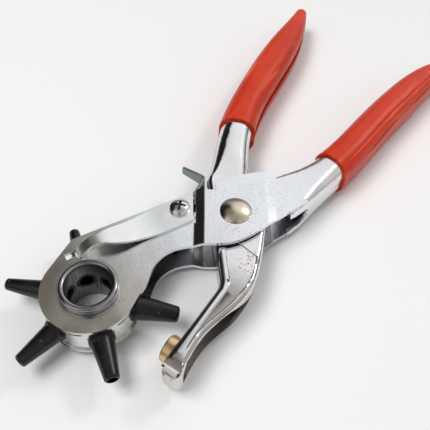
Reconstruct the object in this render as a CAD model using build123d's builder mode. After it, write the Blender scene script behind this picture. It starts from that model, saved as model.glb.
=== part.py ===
"""Rotary hole punch for leather: a pressed-steel plier with a six-tube punch wheel.

Millimetres, +Z up, +X from the head towards the handle ends. The pivot axis is the Z axis, and the
tool lies flat with its lowest points on z = 0. It stands closed, almost squeezed, as it is stored.
"""
import os
from math import atan2, cos, degrees, hypot, radians, sin, sqrt

from build123d import *

os.makedirs("parts", exist_ok=True)

# ---- driving dimensions -------------------------------------------------------------------------
sheet = 1.4                 # thickness of the pressed steel
rest_half = 10.2            # mid-plane height above the bench
head_half = 7.0             # outer half height of the frame around the wheel
pivot_half = 8.6            # outer half height of the frame around the pivot
neck_half = 7.8             # outer half height of the frame where its handle begins
lever_half = 6.5            # outer half height of the lever's jaw and pivot stretch
lever_round = 2.2           # outside radius of the lever's folded steel

hub_x = -56.5               # wheel axis from the pivot axis
hub_y = 24.0
head_radius = 16.8          # round end of the frame's head
drum_radius = 16.2
tube_reach = 31.2           # wheel axis to the cutting edge of a tube
tube_count = 6
first_tube_angle = 52.7     # where tube 1 stands at rest, between two index positions
hole_diameters = [2.0, 2.5, 3.0, 3.5, 4.0, 4.5]
tip_wall = 0.85             # a tube's wall behind its bevelled tip
cutting_wall = 0.35         # steel left round the cutting edge
tube_taper = 0.11           # how much a tube's radius grows per millimetre towards its collar
tube_collar = 1.8
collar_step = 0.5           # how far the collar stands out beyond the foot of the cone
collar_chamfer = 0.3
tube_shank_radius = 3.6
bore_radius = 8.0           # open bore of the wheel, where the leather slugs drop out
sleeve_wall = 1.0
lip_radius = 10.4
tube_root_bore = 2.7        # wide inner end of a tube's bore
land = 4.0                  # straight stretch of a tube's bore behind its edge
notch_width = 4.6           # index notches in the drum's rim
notch_depth = 1.8
notch_length = 2.6

rivet_radius = 3.0
rivet_head_radius = 6.0
rivet_foot_radius = 5.2
rivet_dome = 2.2
bush_wall = 1.2
anvil_radius = 5.0
anvil_thickness = 3.4
anvil_shank_radius = 2.0
closed_gap = 1.3            # anvil face to the tube tips at rest
screw_x = -10.6             # screw that holds the index spring
screw_y = 18.4
screw_radius = 2.0
screw_head_radius = 3.8
screw_head_height = 2.3
cross_length = 4.6          # the screw's cross recess
cross_width = 0.9
cross_depth = 1.3
cross_turn = 25.0
nut_flats = 7.0
nut_height = 2.6
leaf_sheet = 1.1            # index spring
leaf_angle = 152.8
wire_radius = 0.6           # return spring
coil_turns = 4
latch_x = -3.2              # latch pin
latch_y = 18.0
latch_pin_radius = 0.9
latch_sheet = 1.1
latch_height = 5.2
vinyl = 1.2                 # grip wall
grip_end_round = 2.0
flute_radius = 1.2
# Grooves in the frame's grip: angle round the shoulder, and depth at each station of the handle.
flutes = [(20, [-0.6, -0.6, -0.6, -0.6, 0.3, 0.45, 0.2, -0.5, -0.8]),
          (58, [-0.5, -0.5, -0.5, -0.5, -0.1, 0.0, -0.1, -0.5, -0.8])]

# ---- clearances ---------------------------------------------------------------------------------
running = 0.05              # radial clearance of a turning fit
face_gap = 0.2              # between faces that slide past each other
free_gap = 0.35             # between parts that must not touch
bench_gap = 0.1             # room under the grips for the bulge between their sections

# ---- places worked out from them ----------------------------------------------------------------
mid = rest_half
reach = 200.0               # longer than any piece, for cuts that run right through
sleeve_radius = bore_radius + sleeve_wall
drum_half = head_half - sheet - face_gap
bush_radius = rivet_radius + bush_wall
bush_half = pivot_half - sheet
anvil_y = hub_y - tube_reach - closed_gap
jaw_back_y = anvil_y - anvil_thickness
tube_step = 360 / tube_count

# ---- lines shared by several pieces -------------------------------------------------------------
# The head's folded back runs straight from the corner behind the wheel towards the handle.
back_start = Vector(-44.0, 42.6)
back_end = Vector(4.5, 16.8)
back_angle = degrees(atan2(back_end.Y - back_start.Y, back_end.X - back_start.X))
back_length = (back_end - back_start).length
# The frame's plates step outwards along a slanting line beside the pivot.
step_angle = 33.2
step_high = 12.0            # the line where the wide stretch ends, from the pivot axis
step_low = 15.6             # the line where the narrow stretch begins
step_round = 2.0
# The lever's back passes the pivot, then bends into the handle. Offsets are left of the direction.
lever_back_angle = 38.9
lever_back_offset = 9.0
handle_angle = 23.7
handle_back_offset = 13.6
handle_width = 15.2
channel_mouth = 0.52        # share of the handle's height that its channel leaves open
grip_mouth = 0.26           # share that the vinyl leaves open
grip_mouth_lift = 1.2
latch_room = 10.0           # window in the back for the latch and the opening lever
# The return spring is wound on the bush, with one leg in the lever and one against the frame's back.
coil_radius = bush_radius + wire_radius + 0.5
coil_pitch = 2 * wire_radius + 0.15
lever_leg_angle = 42.0
frame_leg_angle = 125.0
coil_turn_angle = 360 * coil_turns + frame_leg_angle - lever_leg_angle - 180
coil_height = coil_pitch * coil_turn_angle / 360
spring_level = coil_height / 2
spring_window_from = 1.5
spring_window_length = 9.0
frame_leg = 22.0
lever_leg = 19.0


# The index spring lies along the back, from its screw to the slot beside the wheel's sleeve.
leaf_plan = Plane(
    origin=(screw_x, screw_y, mid),
    x_dir=(cos(radians(leaf_angle)), sin(radians(leaf_angle)), 0),
    z_dir=(0, 0, 1),
)
leaf_tip = 41.6             # screw to the tip
leaf_tip_width = 4.0
leaf_tip_side = 1.1         # the tip's middle, left of the leaf's line
slot_near = leaf_tip - 1.4
slot_far = leaf_tip + 4.2


def turned(angle, distance, offset=0.0):
    """Point at a distance along a direction from the pivot, shifted to its left by an offset."""
    a = radians(angle)
    return Vector(distance * cos(a) - offset * sin(a), distance * sin(a) + offset * cos(a))


def crossing(angle_a, offset_a, angle_b, offset_b):
    """Where two such shifted directions cross."""
    a, b = radians(angle_a), radians(angle_b)
    across = sin(b - a)
    x = (offset_a * cos(b) - offset_b * cos(a)) / across
    y = (offset_a * sin(b) - offset_b * sin(a)) / across
    return Vector(x, y)


def side_plane(angle, x=0.0, y=0.0):
    """Upright plane seen from the right of a direction: its x runs along it, and its y is up."""
    a = radians(angle)
    return Plane(origin=(x, y, mid), x_dir=(cos(a), sin(a), 0), z_dir=(sin(a), -cos(a), 0))


def section_plane(angle, x, y):
    """Upright plane across a direction: its x runs to the left of it, and its y is up."""
    a = radians(angle)
    return Plane(origin=(x, y, mid), x_dir=(-sin(a), cos(a), 0), z_dir=(cos(a), sin(a), 0))


def handle_loft(stations, inset=0.0):
    """Solid through rounded sections (x, y, direction, width, height, corner, crown), shrunk by an inset."""
    with BuildPart() as body:
        for x, y, angle, width, height, corner, crown in stations:
            with BuildSketch(section_plane(angle, x, y)) as section:
                wide, high = width - 2 * inset, height - 2 * inset
                side, top, shoulder = wide / 2, high / 2, high / 2 - crown
                with BuildLine():
                    if crown:
                        ThreePointArc((side, shoulder), (0, top), (-side, shoulder))
                        Line((-side, shoulder), (-side, -shoulder))
                        ThreePointArc((-side, -shoulder), (0, -top), (side, -shoulder))
                        Line((side, -shoulder), (side, shoulder))
                    else:
                        Polyline((side, top), (-side, top), (-side, -top), (side, -top), close=True)
                make_face()
                fillet(section.vertices(), min(max(corner - inset, 0.3), 0.47 * min(wide, 2 * shoulder)))
        loft()
    return body.part


def mouth_loft(stations, share, lift=0.0):
    """Cutter that opens a share of a handle's height along its right side, a little above its middle."""
    with BuildPart() as body:
        for x, y, angle, width, height, corner, crown in stations:
            with BuildSketch(section_plane(angle, x, y)):
                with Locations((-width / 2, lift)):
                    Rectangle(width, height * share)
        loft()
    return body.part


def channel_loft(stations, share):
    """Handle pressed from sheet into a channel that is open along its right side."""
    return handle_loft(stations) - handle_loft(stations, sheet) - mouth_loft(stations, share)


def dome_point(radius, foot, top, share):
    """Point on the ball-shaped dome between its rim and its crown, at a share of its radius."""
    ball = (radius**2 + (top - foot)**2) / (2 * (top - foot))
    return (share * radius, top - ball + sqrt(ball**2 - (share * radius)**2))


# ---- frame: head plates, folded back and rolled handle ------------------------------------------
grip_half = rest_half - vinyl - bench_gap
frame_handle = [
    (15.0, -9.4, -22, 18.6, 2 * neck_half, 1.9, 0.15),
    (26.0, -12.8, -18, 17.6, 2 * neck_half, 3.4, 0.3),
    (35.0, -15.6, -14, 15.4, 2 * neck_half, 5.2, 0.6),
    (46.5, -18.7, -11, 13.6, 2 * neck_half + 0.8, 6.0, 0.7),
    (68.0, -22.0, -7, 12.6, 2 * grip_half, 5.8, 0.7),
    (98.0, -25.3, -7, 12.2, 2 * grip_half - 0.4, 5.6, 0.7),
    (127.0, -30.2, -13, 9.4, 2 * grip_half - 3.6, 4.2, 0.5),
    (140.0, -34.0, -19, 5.8, 2 * grip_half - 7.0, 2.6, 0.3),
]
frame_grip_end = (146.6, -36.6, -23, 3.0, 2 * grip_half - 9.4, 1.4, 0.2)
frame_grip_start = 3        # the station where the grip begins

plate_notch = [(2.8, 15.0), (4.6, 11.8), (9.4, 15.0)]
plate_upper = [(9.4, 15.0), (15.8, 9.2), (22.2, 3.0), (25.0, -0.6)]
plate_throat = [(21.0, -20.2), (17.3, -19.0), (4.2, -14.2), (-6.8, -10.4), (-14.6, -5.0),
                (-20.0, 2.6), (-28.0, 10.2), (-36.0, 11.4), (-44.5, 8.8)]
circle_foot_angle = -75
circle_top_angle = 100

with BuildPart() as frame:
    # Both plates, as one stepped strip each, trimmed to the plan.
    with BuildSketch(side_plane(step_angle + 90)) as strips:
        for side in (1, -1):
            outside = [(-reach, neck_half), (-step_low, neck_half), (-step_high, pivot_half),
                       (step_high, pivot_half), (step_low, head_half), (reach, head_half)]
            inside = [(x, z - sheet) for x, z in reversed(outside)]
            with BuildLine():
                Polyline(*[(x, side * z) for x, z in outside + inside], close=True)
            make_face()
        fillet(strips.vertices().filter_by(lambda corner: abs(corner.X) < step_low + sheet), step_round)
    extrude(amount=reach, both=True)
    with BuildSketch() as plate_plan:
        foot, top = radians(circle_foot_angle), radians(circle_top_angle)
        circle_foot = (hub_x + head_radius * cos(foot), hub_y + head_radius * sin(foot))
        circle_left = (hub_x - head_radius, hub_y)
        circle_top = (hub_x + head_radius * cos(top), hub_y + head_radius * sin(top))
        with BuildLine():
            Polyline(back_start, back_end, *plate_notch)
            Spline(*plate_upper)
            Line(plate_upper[-1], plate_throat[0])
            Spline(*plate_throat, circle_foot, tangents=[(-17, 4.4), (sin(foot), -cos(foot))])
            ThreePointArc(circle_foot, circle_left, circle_top)
            Line(circle_top, back_start)
        make_face()
    extrude(amount=reach, mode=Mode.INTERSECT)
    # The folded back, between the sweep of the tubes and the latch.
    to_hub = Vector(hub_x, hub_y) - back_start
    back_run = (back_end - back_start).normalized()
    hub_along = to_hub.dot(back_run)
    hub_aside = abs(to_hub.cross(back_run).Z) - sheet
    tube_sweep = hypot(tube_reach, max(hole_diameters) / 2 + tip_wall) + 2 * free_gap
    back_from = hub_along + sqrt(tube_sweep**2 - hub_aside**2)
    back_to = back_length - latch_room
    with BuildSketch(Plane.XY.offset(mid)):
        with Locations(Location((back_start.X, back_start.Y, 0), (0, 0, back_angle))):
            with Locations(((back_from + back_to) / 2, -sheet / 2)):
                Rectangle(back_to - back_from, sheet)
    extrude(amount=head_half - sheet / 2, both=True)
    # The rolled handle: its back side starts behind the lever, its seam side at the belly.
    add(handle_loft(frame_handle) - handle_loft(frame_handle, sheet))
    inner_half = pivot_half - sheet
    with BuildSketch(Plane.XY.offset(mid)):
        with BuildLine():
            Polyline((-10, -8.0), (20, -8.0), (28.5, -6.5), (31.0, 0), (31.0, 20), (-10, 20),
                     close=True)
        make_face()
    extrude(amount=inner_half, both=True, mode=Mode.SUBTRACT)
    # The almond-shaped opening where the belly's edges draw together.
    with BuildSketch(side_plane(0, 0, -10)):
        with BuildLine():
            Spline((22.5, 0), (15.0, 3.6), (4.0, inner_half), tangents=[(0, 1), (-1, 0.25)])
            Line((4.0, inner_half), (-30.0, inner_half))
            Line((-30.0, inner_half), (-30.0, -inner_half))
            Line((-30.0, -inner_half), (4.0, -inner_half))
            Spline((4.0, -inner_half), (15.0, -3.6), (22.5, 0), tangents=[(1, 0.25), (0, 1)])
        make_face()
    extrude(amount=40, mode=Mode.SUBTRACT)
    # Bores for the wheel's sleeve, the rivet, the screw and the latch pin.
    with Locations((hub_x, hub_y, mid)):
        Cylinder(sleeve_radius + running, 4 * rest_half, mode=Mode.SUBTRACT)
    with Locations((0, 0, mid)):
        Cylinder(rivet_radius, 4 * rest_half, mode=Mode.SUBTRACT)
    with Locations((latch_x, latch_y, mid)):
        Cylinder(latch_pin_radius, 4 * rest_half, mode=Mode.SUBTRACT)
    with Locations((screw_x, screw_y, mid + head_half)):
        Cylinder(screw_radius, 4 * sheet, mode=Mode.SUBTRACT)
    # The slot that the index spring's tip drops through.
    with BuildSketch(leaf_plan):
        with Locations(((slot_near + slot_far) / 2, leaf_tip_side)):
            Rectangle(slot_far - slot_near, leaf_tip_width + 2 * free_gap)
    extrude(amount=reach, mode=Mode.SUBTRACT)
frame.part.label = "frame"
export_step(frame.part, "parts/frame.step")


# ---- anvil lever: jaw, pivot stretch and channel handle -----------------------------------------
def lever_station(distance, angle, width, height, corner, crown):
    """Handle section whose back lies on the straight part of the lever's back line."""
    centre = turned(handle_angle, distance, handle_back_offset - handle_width / 2)
    return (centre.X, centre.Y, angle, width, height, corner, crown)


lever_join = 18.0           # how far along the handle's direction the jaw piece gives way to the handle
lever_handle = [
    lever_station(lever_join, handle_angle, handle_width, 2 * lever_half, lever_round, 0),
    lever_station(31.0, handle_angle, 15.0, 2 * lever_half + 1.8, 5.2, 0.6),
    lever_station(50.0, 21, 13.8, 2 * pivot_half, 6.0, 0.9),
    (73.5, 32.9, 12, 13.4, 2 * grip_half, 5.8, 0.8),
    (104.0, 37.3, 8, 13.0, 2 * grip_half - 0.4, 5.0, 0.8),
    (126.0, 41.0, 12, 9.0, 2 * grip_half - 4.0, 3.8, 0.5),
    (138.5, 44.0, 16, 5.0, 2 * grip_half - 8.0, 2.2, 0.3),
]
lever_grip_end = (144.6, 45.8, 17, 3.0, 2 * grip_half - 10.0, 1.4, 0.2)
lever_grip_start = 2

recess_shoulder = 3.0       # width of the rounded shoulder left behind it
recess_rim = 1.9            # width of the rim left in front
recess_depth = 0.5
recess_end = -9.0           # where it runs out, short of the pivot
jaw_tip_x = -66.4
jaw_tip_y = -16.0
bow_start = -57.5           # where the flanges begin to draw together towards the tip
bow_half = 2.4              # half height left at the tip
jaw_front = [(-63.0, -19.6), (-56.0, -18.2), (-48.0, -18.0), (-37.0, -20.4), (-25.0, -21.9),
             (-12.0, -18.6), (0.0, -13.4), (8.0, -8.6), (13.0, -1.0)]


def lever_outline(inset, end):
    """Plan of the jaw and pivot stretch, shrunk by an inset and cut off at a distance along the handle."""
    back_y = jaw_back_y - inset
    back_offset = lever_back_offset - inset
    handle_offset = handle_back_offset - inset
    front_offset = handle_back_offset - handle_width + inset
    tip_x = jaw_tip_x + inset
    jaw_bend = crossing(0, back_y, lever_back_angle, back_offset)
    handle_bend = crossing(lever_back_angle, back_offset, handle_angle, handle_offset)
    tip_back = Vector(tip_x + 2.4, back_y)
    back_end_point = turned(handle_angle, end, handle_offset)
    front_end_point = turned(handle_angle, end, front_offset)
    front = []
    neighbours = [(tip_x, jaw_tip_y)] + jaw_front + [tuple(front_end_point)[:2]]
    for before, point, after in zip(neighbours, jaw_front, neighbours[2:]):
        run = (Vector(*after) - Vector(*before)).normalized()
        front.append((point[0] - inset * run.Y, point[1] + inset * run.X))
    front[0] = (front[0][0] + inset, front[0][1])
    with BuildSketch() as outline:
        with BuildLine():
            FilletPolyline(back_end_point, handle_bend, jaw_bend, tip_back, radius=8)
            ThreePointArc(tip_back, (tip_x, jaw_tip_y + inset / 4), front[0])
            Spline(*front, front_end_point,
                   tangents=[(2, 0.9), (cos(radians(handle_angle)), sin(radians(handle_angle)))])
            Line(front_end_point, back_end_point)
        make_face()
    return outline.sketch.moved(Location((0, 0, mid)))


def recess_outline(inset, level):
    """Plan of the stretch of the jaw's flanges that is pressed in, shrunk by an inset, at a level."""
    back_y = jaw_back_y - recess_shoulder - inset
    back_offset = lever_back_offset - recess_shoulder - inset
    slant = radians(lever_back_angle)
    bend = crossing(0, back_y, lever_back_angle, back_offset)
    end_x = recess_end - inset
    back_end_point = (end_x, (back_offset + end_x * sin(slant)) / cos(slant))
    front = [(x, y + recess_rim + inset) for x, y in jaw_front[1:6]]
    tip = (front[0][0] - 3.0 + inset, back_y)
    with BuildSketch() as outline:
        with BuildLine():
            FilletPolyline(back_end_point, bend, tip, radius=8)
            Line(tip, front[0])
            Spline(*front)
            Line(front[-1], back_end_point)
        make_face()
    return outline.sketch.moved(Location((0, 0, level)))


def bow_trim(inset):
    """Block whose flanges' side of the tip draws together like a bow, shrunk by an inset."""
    half, tip_x, tip_half = lever_half - inset, jaw_tip_x + inset, bow_half - inset / 2
    with BuildPart() as block:
        with BuildSketch(side_plane(0)):
            with BuildLine():
                Spline((bow_start, half), (tip_x, tip_half), tangents=[(-1, 0), (-0.35, -1)])
                ThreePointArc((tip_x, tip_half), (tip_x - 0.3, 0), (tip_x, -tip_half))
                Spline((tip_x, -tip_half), (bow_start, -half), tangents=[(0.35, -1), (1, 0)])
                Polyline((bow_start, -half), (reach, -half), (reach, half), (bow_start, half))
            make_face()
        extrude(amount=reach, both=True)
    return block.part


with BuildPart() as jaw_inside:
    add(lever_outline(sheet, lever_join + 2 * sheet))
    extrude(amount=lever_half - sheet, both=True)
    add(bow_trim(sheet), mode=Mode.INTERSECT)

with BuildPart() as anvil_lever:
    add(lever_outline(0, lever_join))
    extrude(amount=lever_half, both=True)
    rounded = [e for e in anvil_lever.edges() if abs(abs(e.center().Z - mid) - lever_half) < 0.01
               and e.center().X < 2 * lever_join / 3]
    fillet(rounded, lever_round)
    add(bow_trim(0), mode=Mode.INTERSECT)
    add(jaw_inside.part, mode=Mode.SUBTRACT)
    # The jaw is a channel: its edges part in a vee below the pivot and close again at the tip.
    inner_half = lever_half - sheet
    with BuildSketch(side_plane(0, 0, jaw_back_y - sheet)):
        with BuildLine():
            Polyline((-22.0, 0), (-36.0, inner_half), (-59.0, inner_half), (-63.0, inner_half - 2.5),
                     (-63.0, -inner_half + 2.5), (-59.0, -inner_half), (-36.0, -inner_half), close=True)
        make_face()
    extrude(amount=reach, mode=Mode.SUBTRACT)
    # Both flanges of the jaw are pressed in between a shoulder behind and a rim in front.
    for side in (1, -1):
        mouth = recess_outline(0, mid + side * lever_half)
        floor = recess_outline(recess_depth, mid + side * (lever_half - recess_depth))
        add(loft([mouth.face(), floor.face()], ruled=True, mode=Mode.PRIVATE), mode=Mode.SUBTRACT)
    with Locations((0, 0, mid)):
        Cylinder(bush_radius + running, 4 * rest_half, mode=Mode.SUBTRACT)
    with BuildSketch(side_plane(0, hub_x, 0)):
        Circle(anvil_shank_radius)
    extrude(amount=-jaw_back_y + 2 * sheet, mode=Mode.SUBTRACT)
    # A window in the back lets the return spring's long leg reach the frame.
    with BuildSketch(side_plane(lever_back_angle)):
        with Locations((spring_window_from + spring_window_length / 2, -spring_level)):
            SlotOverall(spring_window_length, 5 * wire_radius)
    extrude(amount=-2 * lever_back_offset, mode=Mode.SUBTRACT)
    add(channel_loft(lever_handle, channel_mouth))
anvil_lever.part.label = "anvil_lever"
export_step(anvil_lever.part, "parts/anvil_lever.step")

# ---- brass anvil, riveted through the jaw -------------------------------------------------------
with BuildPart() as brass_anvil:
    tail_y = jaw_back_y - sheet
    with BuildSketch(Plane.XY.offset(mid)):
        with BuildLine():
            rim_x, shank_x = hub_x + anvil_radius, hub_x + anvil_shank_radius
            Polyline((hub_x, anvil_y), (rim_x - 0.5, anvil_y), (rim_x, anvil_y - 0.5), (rim_x, jaw_back_y),
                     (shank_x, jaw_back_y), (shank_x, tail_y), (shank_x + 0.9, tail_y),
                     (shank_x + 0.5, tail_y - 1.1), (hub_x, tail_y - 1.4), close=True)
        make_face()
    revolve(axis=Axis((hub_x, 0, mid), (0, 1, 0)))
brass_anvil.part.label = "brass_anvil"
export_step(brass_anvil.part, "parts/brass_anvil.step")

# ---- pivot: rivet, bush and return spring -------------------------------------------------------
with BuildPart() as pivot_rivet:
    with BuildSketch(side_plane(0)):
        with BuildLine():
            Polyline((0, pivot_half + rivet_dome), (0, -rest_half), (rivet_foot_radius - 0.5, -rest_half),
                     (rivet_foot_radius, -rest_half + 0.5), (rivet_foot_radius, -pivot_half),
                     (rivet_radius, -pivot_half), (rivet_radius, pivot_half), (rivet_head_radius, pivot_half),
                     (rivet_head_radius, pivot_half + 0.5))
            ThreePointArc((rivet_head_radius, pivot_half + 0.5),
                          dome_point(rivet_head_radius, pivot_half + 0.5, pivot_half + rivet_dome, 0.6),
                          (0, pivot_half + rivet_dome))
        make_face()
    revolve(axis=Axis.Z)
pivot_rivet.part.label = "pivot_rivet"
export_step(pivot_rivet.part, "parts/pivot_rivet.step")

with BuildPart() as pivot_bush:
    with Locations((0, 0, mid)):
        Cylinder(bush_radius, 2 * bush_half)
        Cylinder(rivet_radius, 2 * bush_half, mode=Mode.SUBTRACT)
    chamfer(pivot_bush.edges().filter_by(GeomType.CIRCLE).sort_by(SortBy.RADIUS)[-2:], 0.3)
pivot_bush.part.label = "pivot_bush"
export_step(pivot_bush.part, "parts/pivot_bush.step")

with BuildPart() as return_spring:
    with BuildLine() as wire_path:
        turns = Helix(coil_pitch, coil_height, coil_radius, center=(0, 0, mid - spring_level),
                      lefthand=True, mode=Mode.PRIVATE)
        coil = turns.rotate(Axis.Z, frame_leg_angle - 90)
        add(coil)
        Line(coil @ 0 - frame_leg * (coil % 0), coil @ 0)
        Line(coil @ 1, coil @ 1 + lever_leg * (coil % 1))
    with BuildSketch(Plane(origin=wire_path.wire() @ 0, z_dir=wire_path.wire() % 0)):
        Circle(wire_radius)
    sweep(path=wire_path.wire())
return_spring.part.label = "return_spring"
export_step(return_spring.part, "parts/return_spring.step")

# ---- wheel: drum, sleeve with rolled lips, and tapered tubes ------------------------------------
tube_angles = [first_tube_angle + tube_step * i for i in range(tube_count)]
collar_seat = drum_radius - 0.7
collar_top = collar_seat + tube_collar
wheel_axis = Axis((hub_x, hub_y, mid), (0, 0, 1))


def collar_radius(hole_diameter):
    """Radius of a tube's collar, a step wider than the foot of its cone."""
    return hole_diameter / 2 + tip_wall + tube_taper * (tube_reach - collar_top) + collar_step


with BuildPart() as wheel_drum:
    with Locations((hub_x, hub_y, mid)):
        Cylinder(drum_radius, 2 * drum_half)
    fillet(wheel_drum.edges().filter_by(GeomType.CIRCLE), 0.8)
    with Locations((hub_x, hub_y, mid)):
        Cylinder(sleeve_radius, 2 * drum_half, mode=Mode.SUBTRACT)
    for angle, hole in zip(tube_angles, hole_diameters):
        with BuildSketch(section_plane(angle, hub_x, hub_y)):
            Circle(tube_shank_radius)
        extrude(amount=2 * drum_radius, mode=Mode.SUBTRACT)
        a = radians(angle)
        with BuildSketch(section_plane(angle, hub_x + collar_seat * cos(a), hub_y + collar_seat * sin(a))):
            Circle(collar_radius(hole) + face_gap)
        extrude(amount=drum_radius, mode=Mode.SUBTRACT)
        # Notch in the upper rim that the index spring's tip finds, half way to the next tube.
        n = angle + tube_step / 2
        with BuildSketch(side_plane(n, hub_x, hub_y)):
            with Locations((drum_radius, drum_half)):
                Rectangle(2 * notch_length, 2 * notch_depth)
        extrude(amount=notch_width / 2, both=True, mode=Mode.SUBTRACT)
wheel_drum.part.label = "wheel_drum"
export_step(wheel_drum.part, "parts/wheel_drum.step")

with BuildPart() as hub_sleeve:
    lip_foot = head_half + face_gap
    with BuildSketch(side_plane(0, hub_x, hub_y)) as sleeve_section:
        with BuildLine():
            Polyline((bore_radius, -rest_half), (lip_radius, -rest_half), (lip_radius, -lip_foot),
                     (sleeve_radius, -lip_foot), (sleeve_radius, lip_foot), (lip_radius, lip_foot),
                     (lip_radius, rest_half), (bore_radius, rest_half), close=True)
        make_face()
        rims = sleeve_section.vertices().filter_by(lambda corner: abs(abs(corner.Y) - rest_half) < 0.01)
        fillet(rims, 1.1)
    revolve(axis=wheel_axis)
    for angle in tube_angles:
        with BuildSketch(section_plane(angle, hub_x, hub_y)):
            Circle(tube_shank_radius)
        extrude(amount=2 * drum_radius, mode=Mode.SUBTRACT)
hub_sleeve.part.label = "hub_sleeve"
export_step(hub_sleeve.part, "parts/hub_sleeve.step")

for number, (angle, hole) in enumerate(zip(tube_angles, hole_diameters), 1):
    hole_radius = hole / 2
    edge_radius = hole_radius + cutting_wall
    tip_radius = hole_radius + tip_wall
    collar = collar_radius(hole)
    with BuildPart() as punch_tube:
        with BuildSketch(side_plane(angle, hub_x, hub_y)):
            with BuildLine():
                Polyline((bore_radius / 2, tube_root_bore), (bore_radius / 2, tube_shank_radius),
                         (collar_seat, tube_shank_radius), (collar_seat, collar),
                         (collar_top - collar_chamfer, collar), (collar_top, collar - collar_chamfer),
                         (collar_top, collar - collar_step),
                         (tube_reach - (tip_radius - edge_radius), tip_radius), (tube_reach, edge_radius),
                         (tube_reach, hole_radius), (tube_reach - land, hole_radius),
                         (tube_reach - 2 * land, max(hole_radius, tube_root_bore - 0.6)), close=True)
            make_face()
        revolve(axis=Axis((hub_x, hub_y, mid), (cos(radians(angle)), sin(radians(angle)), 0)))
        # The root ends flush with the wall of the sleeve's bore.
        with Locations((hub_x, hub_y, mid)):
            Cylinder(bore_radius, 2 * drum_half, mode=Mode.SUBTRACT)
    punch_tube.part.label = f"punch_tube_{number}"
    export_step(punch_tube.part, f"parts/punch_tube_{number}.step")

# ---- index spring, its screw and nut ------------------------------------------------------------
leaf_level = head_half + leaf_sheet / 2
tip_right = leaf_tip_side - leaf_tip_width / 2
tip_left = leaf_tip_side + leaf_tip_width / 2
with BuildPart() as index_spring:
    with BuildSketch(side_plane(leaf_angle, screw_x, screw_y)):
        with BuildLine() as leaf_line:
            Line((-15.0, leaf_level), (9.0, leaf_level))
            Spline((9.0, leaf_level), (21.0, leaf_level + 1.2), (31.0, leaf_level + 3.4),
                   (37.0, leaf_level + 2.9), (40.4, leaf_level + 0.4), (leaf_tip, drum_half + face_gap),
                   tangents=[(1, 0), (0.15, -1)])
        trace(line_width=leaf_sheet)
    extrude(amount=reach, both=True)
    with BuildSketch(leaf_plan) as leaf_outline:
        with BuildLine():
            Polyline((-1.9, 7.2), (-8.0, -4.3), (9.5, -4.4))
            Spline((9.5, -4.4), (18.0, -3.2), (29.0, -1.6), (36.0, tip_right), tangents=[(1, 0), (1, 0)])
            Polyline((36.0, tip_right), (slot_far, tip_right), (slot_far, tip_left), (36.0, tip_left))
            Spline((36.0, tip_left), (32.8, 3.5), (29.8, 4.9), (26.0, 6.0), (12.0, 7.3),
                   tangents=[(-1, 0), (-1, 0.1)])
            Line((12.0, 7.3), (-1.9, 7.2))
        make_face()
    extrude(amount=reach, mode=Mode.INTERSECT)
    with Locations((screw_x, screw_y, mid + leaf_level)):
        Cylinder(screw_radius, 4 * leaf_sheet, mode=Mode.SUBTRACT)
index_spring.part.label = "index_spring"
export_step(index_spring.part, "parts/index_spring.step")

with BuildPart() as index_screw:
    seat = head_half + leaf_sheet
    shank_end = head_half - sheet - nut_height - 0.6
    with BuildSketch(side_plane(0, screw_x, screw_y)):
        with BuildLine():
            Polyline((0, seat + screw_head_height), (0, shank_end), (screw_radius - 0.4, shank_end),
                     (screw_radius, shank_end + 0.4), (screw_radius, seat), (screw_head_radius, seat),
                     (screw_head_radius, seat + 1.0))
            ThreePointArc((screw_head_radius, seat + 1.0),
                          dome_point(screw_head_radius, seat + 1.0, seat + screw_head_height, 0.6),
                          (0, seat + screw_head_height))
        make_face()
    revolve(axis=Axis((screw_x, screw_y, 0), (0, 0, 1)))
    with Locations(Location((screw_x, screw_y, mid + seat + screw_head_height), (0, 0, cross_turn))):
        Box(cross_length, cross_width, 2 * cross_depth, mode=Mode.SUBTRACT)
        Box(cross_width, cross_length, 2 * cross_depth, mode=Mode.SUBTRACT)
index_screw.part.label = "index_screw"
export_step(index_screw.part, "parts/index_screw.step")

with BuildPart() as index_nut:
    nut_top = mid + head_half - sheet
    with BuildSketch(Plane.XY.offset(nut_top)):
        with Locations((screw_x, screw_y)):
            RegularPolygon(nut_flats / 2, 6, major_radius=False, rotation=back_angle)
            Circle(screw_radius, mode=Mode.SUBTRACT)
    extrude(amount=-nut_height)
index_nut.part.label = "index_nut"
export_step(index_nut.part, "parts/index_nut.step")

# ---- latch and its pin --------------------------------------------------------------------------
with BuildPart() as latch:
    curl_radius = latch_pin_radius + running + latch_sheet
    curl_middle = curl_radius - latch_sheet / 2
    with BuildSketch(Plane.XY.offset(mid)):
        with Locations((latch_x, latch_y)):
            Circle(curl_radius)
    extrude(amount=latch_height)
    with BuildSketch(Plane.XY.offset(mid)):
        with BuildLine():
            FilletPolyline((latch_x, latch_y + curl_middle), (2.0, 19.5), (10.3, 20.9), (10.5, 31.6),
                           radius=1.4)
        trace(line_width=latch_sheet)
    extrude(amount=latch_height)
    # The thumb tab tapers towards its end.
    tab_foot, tab_end, tab_taper = 4.6, 14.6, 1.0
    with BuildSketch(side_plane(90, latch_x, latch_y)):
        with BuildLine():
            Polyline((-4.0, -reach), (-4.0, reach), (tab_foot, reach), (tab_foot, latch_height),
                     (tab_end, latch_height - tab_taper), (tab_end, tab_taper), (tab_foot, 0),
                     (tab_foot, -reach), close=True)
        make_face()
    extrude(amount=reach, both=True, mode=Mode.INTERSECT)
    with Locations((latch_x, latch_y, mid)):
        Cylinder(latch_pin_radius + running, 4 * rest_half, mode=Mode.SUBTRACT)
latch.part.label = "latch"
export_step(latch.part, "parts/latch.step")

with BuildPart() as latch_pin:
    with Locations((latch_x, latch_y, mid)):
        Cylinder(latch_pin_radius, 2 * head_half)
latch_pin.part.label = "latch_pin"
export_step(latch_pin.part, "parts/latch_pin.step")

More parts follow.
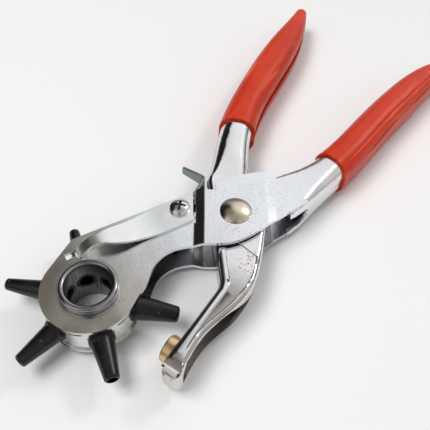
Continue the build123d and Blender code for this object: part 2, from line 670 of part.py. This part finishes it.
# ---- vinyl grips --------------------------------------------------------------------------------
def grip_start_plane(stations, index):
    """Plane across a handle where its grip begins, facing the handle's end."""
    x, y, angle = stations[index][:3]
    return section_plane(angle, x, y)


def flute(stations, around, depths):
    """Cutter along a grip's outside at an angle round its section, this deep at each station."""
    with BuildPart() as body:
        for (x, y, angle, width, height, corner, crown), depth in zip(stations, depths):
            turn = radians(around)
            rim = corner + vinyl
            side = width / 2 + vinyl - rim + (rim + flute_radius - depth) * cos(turn)
            up = height / 2 + vinyl - crown - rim + (rim + flute_radius - depth) * sin(turn)
            with BuildSketch(section_plane(angle, x, y)):
                with Locations((-side, up)):
                    Circle(flute_radius)
        loft()
    return body.part


flute_stations = frame_handle + [frame_grip_end]
with BuildPart() as grip_frame:
    add(handle_loft(frame_handle + [frame_grip_end], -vinyl))
    fillet(grip_frame.faces().sort_by(Axis.X)[-1].edges(), grip_end_round)
    split(bisect_by=grip_start_plane(frame_handle, frame_grip_start), keep=Keep.TOP)
    add(handle_loft(frame_handle), mode=Mode.SUBTRACT)
    # Long grooves along the shoulder on its seam side.
    for around, depths in flutes:
        add(flute(flute_stations, around, depths), mode=Mode.SUBTRACT)
grip_frame.part.label = "grip_frame"
export_step(grip_frame.part, "parts/grip_frame.step")

groove_stations = lever_handle[:-1]     # the groove runs out before the handle's tip
with BuildPart() as grip_lever:
    add(handle_loft(lever_handle + [lever_grip_end], -vinyl))
    fillet(grip_lever.faces().sort_by(Axis.X)[-1].edges(), grip_end_round)
    split(bisect_by=grip_start_plane(lever_handle, lever_grip_start), keep=Keep.TOP)
    add(channel_loft(lever_handle, channel_mouth), mode=Mode.SUBTRACT)
    add(handle_loft(groove_stations, sheet + vinyl), mode=Mode.SUBTRACT)
    add(mouth_loft(groove_stations, grip_mouth, grip_mouth_lift), mode=Mode.SUBTRACT)
grip_lever.part.label = "grip_lever"
export_step(grip_lever.part, "parts/grip_lever.step")
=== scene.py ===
"""Looks for the rotary hole punch: plated steel, black tubes, brass and orange-red vinyl."""

import math

import bpy
from mathutils import Matrix, Vector


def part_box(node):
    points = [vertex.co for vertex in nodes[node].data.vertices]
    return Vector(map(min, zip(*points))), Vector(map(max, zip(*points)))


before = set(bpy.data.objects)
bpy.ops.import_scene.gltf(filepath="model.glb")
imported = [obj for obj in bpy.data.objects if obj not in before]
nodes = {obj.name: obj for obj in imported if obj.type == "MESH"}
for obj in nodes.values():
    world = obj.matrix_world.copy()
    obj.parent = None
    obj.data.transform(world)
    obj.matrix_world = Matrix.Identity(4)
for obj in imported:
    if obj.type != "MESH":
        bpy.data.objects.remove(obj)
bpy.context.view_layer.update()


# ---- helpers for node materials ----------------------------------------------------------------
class Graph:
    """A node tree, with short calls to add nodes and join them."""

    def __init__(self, tree):
        self.tree = tree

    def add(self, kind, inputs=None, **settings):
        node = self.tree.nodes.new(kind)
        for key, value in settings.items():
            setattr(node, key, value)
        for key, value in (inputs or {}).items():
            self.put(node.inputs[key], value)
        return node

    def put(self, socket, value):
        if isinstance(value, bpy.types.NodeSocket):
            self.tree.links.new(value, socket)
        else:
            socket.default_value = value

    def ramp(self, value, *stops):
        """A colour ramp through stops of (position, colour)."""
        node = self.add("ShaderNodeValToRGB", {"Fac": value})
        elements = node.color_ramp.elements
        while len(elements) < len(stops):
            elements.new(0.5)
        for element, (position, colour) in zip(elements, stops):
            element.position = position
            element.color = (*colour, 1.0)
        return node.outputs["Color"]

    def mix(self, share, first, second):
        """The first colour, turning into the second as the share goes from 0 to 1."""
        node = self.add("ShaderNodeMix", {0: share}, data_type="RGBA")
        for socket, colour in ((node.inputs[6], first), (node.inputs[7], second)):
            self.put(socket, colour if isinstance(colour, bpy.types.NodeSocket) else (*colour, 1.0))
        return node.outputs[2]

    def maths(self, operation, first, second=0.0):
        return self.add("ShaderNodeMath", {0: first, 1: second}, operation=operation).outputs[0]

    def vector(self, operation, first, second=(0.0, 0.0, 0.0)):
        return self.add("ShaderNodeVectorMath", {0: first, 1: second}, operation=operation).outputs

    def spread(self, value, low, high, from_low=0.0, from_high=1.0):
        """The value's range, clamped and laid over low to high."""
        return self.add(
            "ShaderNodeMapRange",
            {"Value": value, "From Min": from_low, "From Max": from_high, "To Min": low, "To Max": high},
        ).outputs["Result"]


class Shader(Graph):
    """A material, laid out on the object's own coordinates."""

    def __init__(self, name):
        self.material = bpy.data.materials.new(name)
        self.material.use_nodes = True
        super().__init__(self.material.node_tree)
        self.surface = self.tree.nodes["Principled BSDF"]
        self.place = self.add("ShaderNodeTexCoord").outputs["Object"]

    def set(self, **values):
        for key, value in values.items():
            self.put(self.surface.inputs[key.replace("_", " ")], value)

    def noise(self, scale, detail=4.0, distortion=0.0, place=None):
        return self.add(
            "ShaderNodeTexNoise",
            {"Vector": place or self.place, "Scale": scale, "Detail": detail, "Roughness": 0.55,
             "Distortion": distortion},
        ).outputs["Fac"]

    def height(self):
        return self.add("ShaderNodeSeparateXYZ", {0: self.place}).outputs["Z"]

    def dots(self, scale, strength, inner, outer):
        """The strength inside scattered round dots, 0 around them."""
        cells = self.add("ShaderNodeTexVoronoi", {"Vector": self.place, "Scale": scale})
        return self.spread(cells.outputs["Distance"], strength, 0, inner, outer)

    def freckles(self, middle, inner, outer, *, patch_scale, patch_range, depth):
        """Rust: fine dots near a point, gathered in patches."""
        patches = self.spread(self.noise(patch_scale, 3), 0, depth, *patch_range)
        dots = self.maths("MULTIPLY", self.dots(1300, 1, 0.20, 0.42), patches)
        return self.maths("MULTIPLY", dots, self.near(middle, inner, outer))

    def stretched(self, scale, turn_degrees=0.0):
        """Coordinates scaled along each axis and turned about Z, for streaks."""
        turn = (0.0, 0.0, math.radians(turn_degrees))
        return self.add(
            "ShaderNodeMapping", {"Vector": self.place, "Scale": scale, "Rotation": turn}
        ).outputs["Vector"]

    def mottle(self, cloud, dark, pale, until=0.65):
        """Two tones in soft patches."""
        return self.mix(self.spread(cloud, 0, 1, 0.35, until), dark, pale)

    def across(self, middle):
        """The way from a point, seen along Z."""
        return self.vector("MULTIPLY", self.vector("SUBTRACT", self.place, middle)[0], (1.0, 1.0, 0.0))[0]

    def near(self, middle, inner, outer):
        """1 within the inner distance of a point, 0 beyond the outer one, seen along Z."""
        distance = self.vector("LENGTH", self.across(middle))["Value"]
        return self.spread(distance, 1.0, 0.0, inner, outer)

    def bump(self, *layers):
        """Bump from layers of (height, strength, distance in metres)."""
        normal = None
        for height, strength, distance in layers:
            node = self.add("ShaderNodeBump", {"Height": height, "Strength": strength, "Distance": distance})
            if normal:
                self.put(node.inputs["Normal"], normal)
            normal = node.outputs["Normal"]
        self.put(self.surface.inputs["Normal"], normal)


# ---- sizes and places, in metres ---------------------------------------------------------------
def middle_of(name):
    low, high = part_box(name)
    return (low + high) / 2


hub = middle_of("hub_sleeve")
pivot = middle_of("pivot_rivet")
screw = middle_of("index_screw")
screw_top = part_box("index_screw")[1].z
screw_ball = 0.0062                                       # radius of the screw's domed head
screw_recess = 0.0024                                     # reach of its cross recess
bore_radius = 0.008
sheet = 0.0014
jaw_half = 0.0065                                         # half height of the lever's jaw
seam = 0.0001                                             # softness of a tone's edge at a bend

plate_middle = pivot + Vector((0.004, 0.006, 0.0))        # the frame's plates round the pivot
plate_rust = pivot + Vector((0.003, -0.009, 0.0))
jaw_rust = pivot + Vector((-0.016, -0.014, 0.0))
jaw_middle = pivot + Vector((-0.046, -0.018, 0.0))
rust_red = (0.42, 0.12, 0.09)
rust_brown = (0.40, 0.13, 0.09)


# ---- materials ---------------------------------------------------------------------------------
def satin_nickel():
    """Warm barrel-plated nickel, bluer and freckled with rust round the pivot, slightly wavy."""
    shader = Shader("satin_nickel")
    cloud = shader.noise(70, 5)
    fine = shader.noise(1500, 3)
    tone = shader.mottle(cloud, (0.71, 0.67, 0.62), (0.81, 0.78, 0.74))
    tone = shader.mix(shader.near(plate_middle, 0.026, 0.060), tone, (0.84, 0.865, 0.90))
    tone = shader.mix(shader.spread(fine, 0, 0.35, 0.45, 0.75), tone, (0.52, 0.48, 0.45))
    rust = shader.freckles(plate_rust, 0.006, 0.022, patch_scale=190, patch_range=(0.50, 0.62), depth=0.75)
    tone = shader.mix(rust, tone, rust_brown)
    rough = shader.maths("ADD", shader.spread(cloud, 0.07, 0.25, 0.3, 0.7), shader.spread(fine, 0.0, 0.08))
    shader.set(Base_Color=tone, Metallic=1.0, Roughness=rough)
    shader.bump(
        (shader.noise(1400, 4), 0.30, 0.00003),
        (shader.noise(120, 3), 0.25, 0.0002),
        (shader.noise(32, 2), 0.5, 0.0010),
    )
    return shader.material


def bright_chrome(name):
    """A shader with the tone and roughness of smooth plating, finely scratched."""
    shader = Shader(name)
    cloud = shader.noise(60)
    scratches = shader.noise(260, 5, place=shader.stretched((1.0, 9.0, 9.0)))
    tone = shader.mottle(cloud, (0.78, 0.78, 0.79), (0.88, 0.88, 0.88))
    rough = shader.maths("ADD", shader.spread(cloud, 0.06, 0.13), shader.spread(scratches, 0.0, 0.06))
    return shader, tone, rough


def drum_chrome():
    shader, tone, rough = bright_chrome("drum_chrome")
    shader.set(Base_Color=tone, Metallic=1.0, Roughness=rough)
    shader.bump((shader.noise(700, 3), 0.12, 0.00002), (shader.noise(80, 3), 0.12, 0.0003))
    return shader.material


def lever_chrome():
    """Bright outside with rust at the jaw's root, with painted shade making the pressed recess and the
    channel darker and browner.
    """
    shader, tone, rough = bright_chrome("lever_chrome")
    rust = shader.freckles(jaw_rust, 0.010, 0.020, patch_scale=110, patch_range=(0.48, 0.58), depth=0.95)
    tone = shader.mix(rust, tone, rust_red)
    aside = shader.maths("ABSOLUTE", shader.maths("SUBTRACT", shader.height(), hub.z))
    floor_low, floor_high = jaw_half - 0.0009, jaw_half - 0.0002
    # where painted shade goes: the pressed recess, and below it the channel
    recess = shader.maths(
        "MULTIPLY",
        shader.spread(aside, 0, 1, floor_low - seam, floor_low),
        shader.spread(aside, 1, 0, floor_high, floor_high + seam),
    )
    recess = shader.maths("MULTIPLY", recess, shader.near(jaw_middle, 0.018, 0.028))
    channel = shader.spread(aside, 1, 0, jaw_half - sheet, jaw_half - sheet + 2 * seam)
    # painted shade: darker, browner tones in the pressed recess and the channel
    tone = shader.mix(shader.maths("MULTIPLY", recess, 0.62), tone, (0.26, 0.22, 0.19))
    tone = shader.mix(shader.maths("MULTIPLY", channel, 0.45), tone, (0.46, 0.38, 0.31))
    dull = shader.maths("MULTIPLY", shader.maths("MAXIMUM", recess, channel), 0.12)
    shader.set(Base_Color=tone, Metallic=1.0, Roughness=shader.maths("ADD", rough, dull))
    shader.bump(
        (shader.noise(700, 3), 0.14, 0.00002),
        (shader.noise(75, 3), 0.22, 0.0004),
        (shader.noise(28, 2), 0.4, 0.0012),
    )
    return shader.material


def sleeve_steel():
    """Dark gunmetal, duller in the bore and a little darker there with painted shade."""
    shader = Shader("sleeve_steel")
    cloud = shader.noise(160)
    tone = shader.mottle(cloud, (0.30, 0.30, 0.32), (0.42, 0.42, 0.43))
    # painted shade inside the bore
    inner = shader.near(hub, bore_radius + 0.0002, bore_radius + 0.0007)
    tone = shader.mix(inner, tone, (0.27, 0.275, 0.285))
    rough = shader.maths("ADD", shader.spread(cloud, 0.12, 0.22), shader.maths("MULTIPLY", inner, 0.14))
    shader.set(Base_Color=tone, Metallic=1.0, Roughness=rough)
    shader.bump((shader.noise(900, 3), 0.15, 0.00002))
    return shader.material


def zinc(name, *, pale, cool, warm, blue):
    """Passivated zinc, whose hue drifts between four tones."""
    shader = Shader(name)
    cloud = shader.noise(160, 5)
    hue = shader.noise(60, 3, distortion=0.8)
    tone = shader.ramp(hue, (0.30, cool), (0.45, pale), (0.56, warm), (0.70, blue))
    tone = shader.mix(shader.spread(cloud, 0, 0.4, 0.4, 0.7), tone, pale)
    shader.set(Base_Color=tone, Metallic=1.0, Roughness=shader.spread(cloud, 0.22, 0.36))
    shader.bump((shader.noise(800), 0.25, 0.00002))
    return shader.material


def black_oxide():
    """Blackened tubes with specks of bare steel."""
    shader = Shader("black_oxide")
    cloud = shader.noise(150, 5)
    tone = shader.mottle(cloud, (0.003, 0.003, 0.0035), (0.009, 0.0088, 0.0088), until=0.7)
    tone = shader.mix(shader.spread(shader.noise(1100, 3), 0, 0.7, 0.66, 0.74), tone, (0.16, 0.155, 0.15))
    shader.set(Base_Color=tone, Metallic=0.0, Specular_IOR_Level=0.4)
    shader.set(Roughness=shader.spread(cloud, 0.24, 0.36))
    shader.bump((shader.noise(1600, 3), 0.2, 0.00002))
    return shader.material


def plain_metal(name, grain, *, dark, pale, rough, fine_scale, fine_depth, pits=None):
    """Metal mottled between two tones, with small pits of a third tone if one is given."""
    shader = Shader(name)
    cloud = shader.noise(grain)
    tone = shader.mottle(cloud, dark, pale)
    if pits:
        tone = shader.mix(shader.dots(1100, 0.5, 0.05, 0.25), tone, pits)
    shader.set(Base_Color=tone, Metallic=1.0, Roughness=shader.spread(cloud, *rough))
    shader.bump((shader.noise(fine_scale, 3), 0.2, fine_depth))
    return shader.material


def screw_steel():
    """Plated head, with painted shade making its cross recess dark where it lies below the head's dome."""
    shader = Shader("screw_steel")
    cloud = shader.noise(300)
    tone = shader.mottle(cloud, (0.62, 0.61, 0.60), (0.82, 0.81, 0.80))
    aside = shader.across(screw)
    squared = shader.vector("DOT_PRODUCT", aside, aside)["Value"]
    dome = shader.maths("SUBTRACT", screw_top, shader.maths("DIVIDE", squared, 2 * screw_ball))
    depth = shader.maths("SUBTRACT", dome, shader.height())
    # painted shade in the cross recess: near black, less metallic and rougher
    cross_shade = shader.maths(
        "MULTIPLY",
        shader.spread(depth, 0, 1, 0.00010, 0.00028),
        shader.near(screw, screw_recess, screw_recess + 0.0002),
    )
    tone = shader.mix(cross_shade, tone, (0.012, 0.011, 0.010))
    rough = shader.maths("ADD", shader.spread(cloud, 0.12, 0.22), shader.maths("MULTIPLY", cross_shade, 0.4))
    shader.set(Base_Color=tone, Metallic=shader.maths("SUBTRACT", 1.0, cross_shade), Roughness=rough)
    shader.bump((shader.noise(900, 3), 0.15, 0.00002), (shader.noise(260, 2), 0.2, 0.0001))
    return shader.material


def vinyl():
    """Dipped orange-red vinyl, streaked along the handles and rubbed paler in places."""
    shader = Shader("vinyl_skin")
    cloud = shader.noise(45)
    fine = shader.noise(500)
    streaks = shader.noise(60, place=shader.stretched((0.35, 2.2, 2.2), -8))
    worn = shader.noise(85, 5, place=shader.stretched((0.30, 2.6, 2.6), 9))
    tone = shader.mottle(cloud, (0.50, 0.026, 0.0035), (0.60, 0.040, 0.006))
    tone = shader.mix(shader.spread(worn, 0, 0.55, 0.56, 0.70), tone, (0.84, 0.17, 0.085))
    tone = shader.mix(shader.spread(streaks, 0, 0.35, 0.5, 0.7), tone, (0.42, 0.020, 0.005))
    rough = shader.maths("ADD", shader.spread(cloud, 0.30, 0.38), shader.spread(fine, 0.0, 0.08))
    shader.set(Base_Color=tone, Roughness=rough, Specular_IOR_Level=0.26)
    shader.set(Subsurface_Weight=0.05, Subsurface_Radius=(0.6, 0.1, 0.05), Subsurface_Scale=0.002)
    shader.bump((fine, 0.10, 0.00006), (shader.noise(55, 3), 0.25, 0.0004))
    return shader.material


def plain_floor():
    shader = Shader("floor")
    tone = shader.mix(shader.noise(3), (0.80, 0.80, 0.795), (0.83, 0.83, 0.825))
    shader.set(Base_Color=tone, Roughness=0.6, Specular_IOR_Level=0.3)
    return shader.material


leaf_zinc = zinc(
    "leaf_zinc",
    pale=(0.90, 0.98, 0.97), cool=(0.78, 0.92, 0.93), warm=(0.92, 0.88, 0.87), blue=(0.74, 0.87, 0.98),
)
latch_zinc = zinc(
    "latch_zinc",
    pale=(0.22, 0.28, 0.25), cool=(0.18, 0.25, 0.23), warm=(0.24, 0.26, 0.22), blue=(0.19, 0.25, 0.26),
)
wire = plain_metal(
    "spring_steel", 300, dark=(0.28, 0.28, 0.29), pale=(0.45, 0.44, 0.43), rough=(0.25, 0.45),
    fine_scale=1200, fine_depth=0.00002,
)
brass = plain_metal(
    "brass", 220, dark=(0.56, 0.37, 0.17), pale=(0.84, 0.61, 0.33), rough=(0.22, 0.38),
    fine_scale=900, fine_depth=0.00002, pits=(0.20, 0.11, 0.04),
)
rivet_nickel = plain_metal(
    "rivet_nickel", 240, dark=(0.66, 0.57, 0.44), pale=(0.82, 0.74, 0.60), rough=(0.16, 0.28),
    fine_scale=600, fine_depth=0.00004,
)
black = black_oxide()
skin = vinyl()
finishes = {
    "frame": satin_nickel(),
    "anvil_lever": lever_chrome(),
    "brass_anvil": brass,
    "pivot_rivet": rivet_nickel,
    "pivot_bush": wire,
    "return_spring": wire,
    "wheel_drum": drum_chrome(),
    "hub_sleeve": sleeve_steel(),
    "index_spring": leaf_zinc,
    "index_screw": screw_steel(),
    "index_nut": latch_zinc,
    "latch": latch_zinc,
    "latch_pin": wire,
    "grip_frame": skin,
    "grip_lever": skin,
}
for name, piece in nodes.items():
    piece.data.materials.clear()
    piece.data.materials.append(black if name.startswith("punch_tube") else finishes[name])


# ---- smooth shading, with every sharp edge softened --------------------------------------------
edge_radii = {
    "frame": 0.00025, "anvil_lever": 0.0002, "brass_anvil": 0.0002, "pivot_rivet": 0.00015,
    "wheel_drum": 0.0002, "hub_sleeve": 0.0002, "index_spring": 0.0002, "latch": 0.00015,
    "grip_frame": 0.0004, "grip_lever": 0.0004,
}
small_radius = 0.0001
sharp_from = math.radians(35.0)


def soften(piece, radius):
    """Joins the mesh's seams, rounds its sharp edges a little and shades it smooth."""
    for polygon in piece.data.polygons:
        polygon.use_smooth = True
    weld = piece.modifiers.new("weld", "WELD")
    weld.merge_threshold = 1e-6
    bevel = piece.modifiers.new("bevel", "BEVEL")
    bevel.width = radius
    bevel.segments = 2
    bevel.limit_method = "ANGLE"
    bevel.angle_limit = sharp_from
    flatten = piece.modifiers.new("flatten", "WEIGHTED_NORMAL")
    flatten.mode = "FACE_AREA_WITH_ANGLE"
    flatten.weight = 85


for name, piece in nodes.items():
    soften(piece, edge_radii.get(name, small_radius))


# ---- floor and camera --------------------------------------------------------------------------
floor_gap = 0.0001                                        # so that no face of the part lies in the floor
bpy.ops.mesh.primitive_plane_add(size=6.0, location=(0, 0, -floor_gap))
floor = bpy.context.object
floor.name = "floor"
floor.data.materials.append(plain_floor())

azimuth, elevation, roll = math.radians(-60.0), math.radians(51.38), math.radians(3.64)
back = Vector((math.sin(azimuth) * math.cos(elevation), -math.cos(azimuth) * math.cos(elevation),
               math.sin(elevation)))
level = Vector((math.cos(azimuth), math.sin(azimuth), 0.0))
rise = back.cross(level)
right = math.cos(roll) * level + math.sin(roll) * rise
up = math.cos(roll) * rise - math.sin(roll) * level
hub_in_camera = Vector((-0.04326, -0.02945, -0.2000))     # right, up and back of the lens
lens = bpy.data.cameras.new("camera")
lens.lens = 47.8
lens.sensor_width = 36.0
lens.clip_start = 0.01
camera = bpy.data.objects.new("camera", lens)
bpy.context.scene.collection.objects.link(camera)
camera.rotation_mode = "QUATERNION"
camera.rotation_quaternion = Matrix((right, up, back)).transposed().to_quaternion()
camera.location = hub - hub_in_camera.x * right - hub_in_camera.y * up - hub_in_camera.z * back
bpy.context.scene.camera = camera


# ---- lights ------------------------------------------------------------------------------------
def area_light(name, place, aim, size, power, mirrored):
    data = bpy.data.lights.new(name, "AREA")
    data.shape = "RECTANGLE"
    data.size, data.size_y = size
    data.energy = power
    light = bpy.data.objects.new(name, data)
    bpy.context.scene.collection.objects.link(light)
    light.location = place
    light.rotation_mode = "QUATERNION"
    light.rotation_quaternion = (Vector(aim) - Vector(place)).to_track_quat("-Z", "Y")
    light.visible_glossy = mirrored


area_light("skylight", (-0.42, 0.36, 1.20), (0.02, 0, 0), (0.7, 0.5), 11, mirrored=False)
area_light("lamp", (0.95, -0.35, 0.95), (0.03, 0, 0), (0.22, 0.18), 3, mirrored=True)


# ---- the room that the metal mirrors -----------------------------------------------------------
world = bpy.data.worlds.new("studio")
bpy.context.scene.world = world
world.use_nodes = True
room = Graph(world.node_tree)
outward = room.add("ShaderNodeTexCoord").outputs["Generated"]


def towards(azimuth_degrees, elevation_degrees, inner, outer):
    """1 within the inner angle of a direction, 0 beyond the outer one."""
    turn, tilt = math.radians(azimuth_degrees), math.radians(elevation_degrees)
    aim = (math.cos(turn) * math.cos(tilt), math.sin(turn) * math.cos(tilt), math.sin(tilt))
    match = room.vector("DOT_PRODUCT", outward, aim)["Value"]
    return room.spread(match, 0.0, 1.0, math.cos(math.radians(outer)), math.cos(math.radians(inner)))


height = room.add("ShaderNodeSeparateXYZ", {0: outward}).outputs["Z"]
tone = room.ramp(height, (0.0, (0.13, 0.13, 0.135)), (0.25, (0.30, 0.30, 0.31)), (0.50, (0.66, 0.66, 0.67)),
                 (0.82, (0.84, 0.84, 0.84)), (0.95, (0.50, 0.49, 0.48)))
patches = [     # azimuth and elevation, inner and outer angle, colour
    ((2, 40), (18, 38), (1.25, 1.25, 1.27)),              # bright window past the handles
    ((160, 40), (10, 26), (1.05, 1.05, 1.08)),            # smaller window past the head
    ((82, 34), (25, 33), (0.018, 0.017, 0.017)),          # black furniture on the far side
    ((104, 30), (24, 32), (0.018, 0.017, 0.017)),
    ((76, 62), (10, 19), (0.26, 0.245, 0.21)),            # dull ceiling above it
    ((-150, 51), (8, 18), (0.20, 0.19, 0.18)),            # shade from whoever takes the picture
    ((-70, 26), (14, 30), (0.95, 0.95, 0.94)),            # pale wall on the near side
    ((-84, 6), (5, 14), (0.06, 0.06, 0.06)),              # dark skirting below it
]
for direction, angles, colour in patches:
    tone = room.mix(towards(*direction, *angles), tone, colour)
background = world.node_tree.nodes["Background"]
room.put(background.inputs["Color"], tone)
room.put(background.inputs["Strength"], 0.76)
bpy.context.scene.view_settings.view_transform = "Standard"
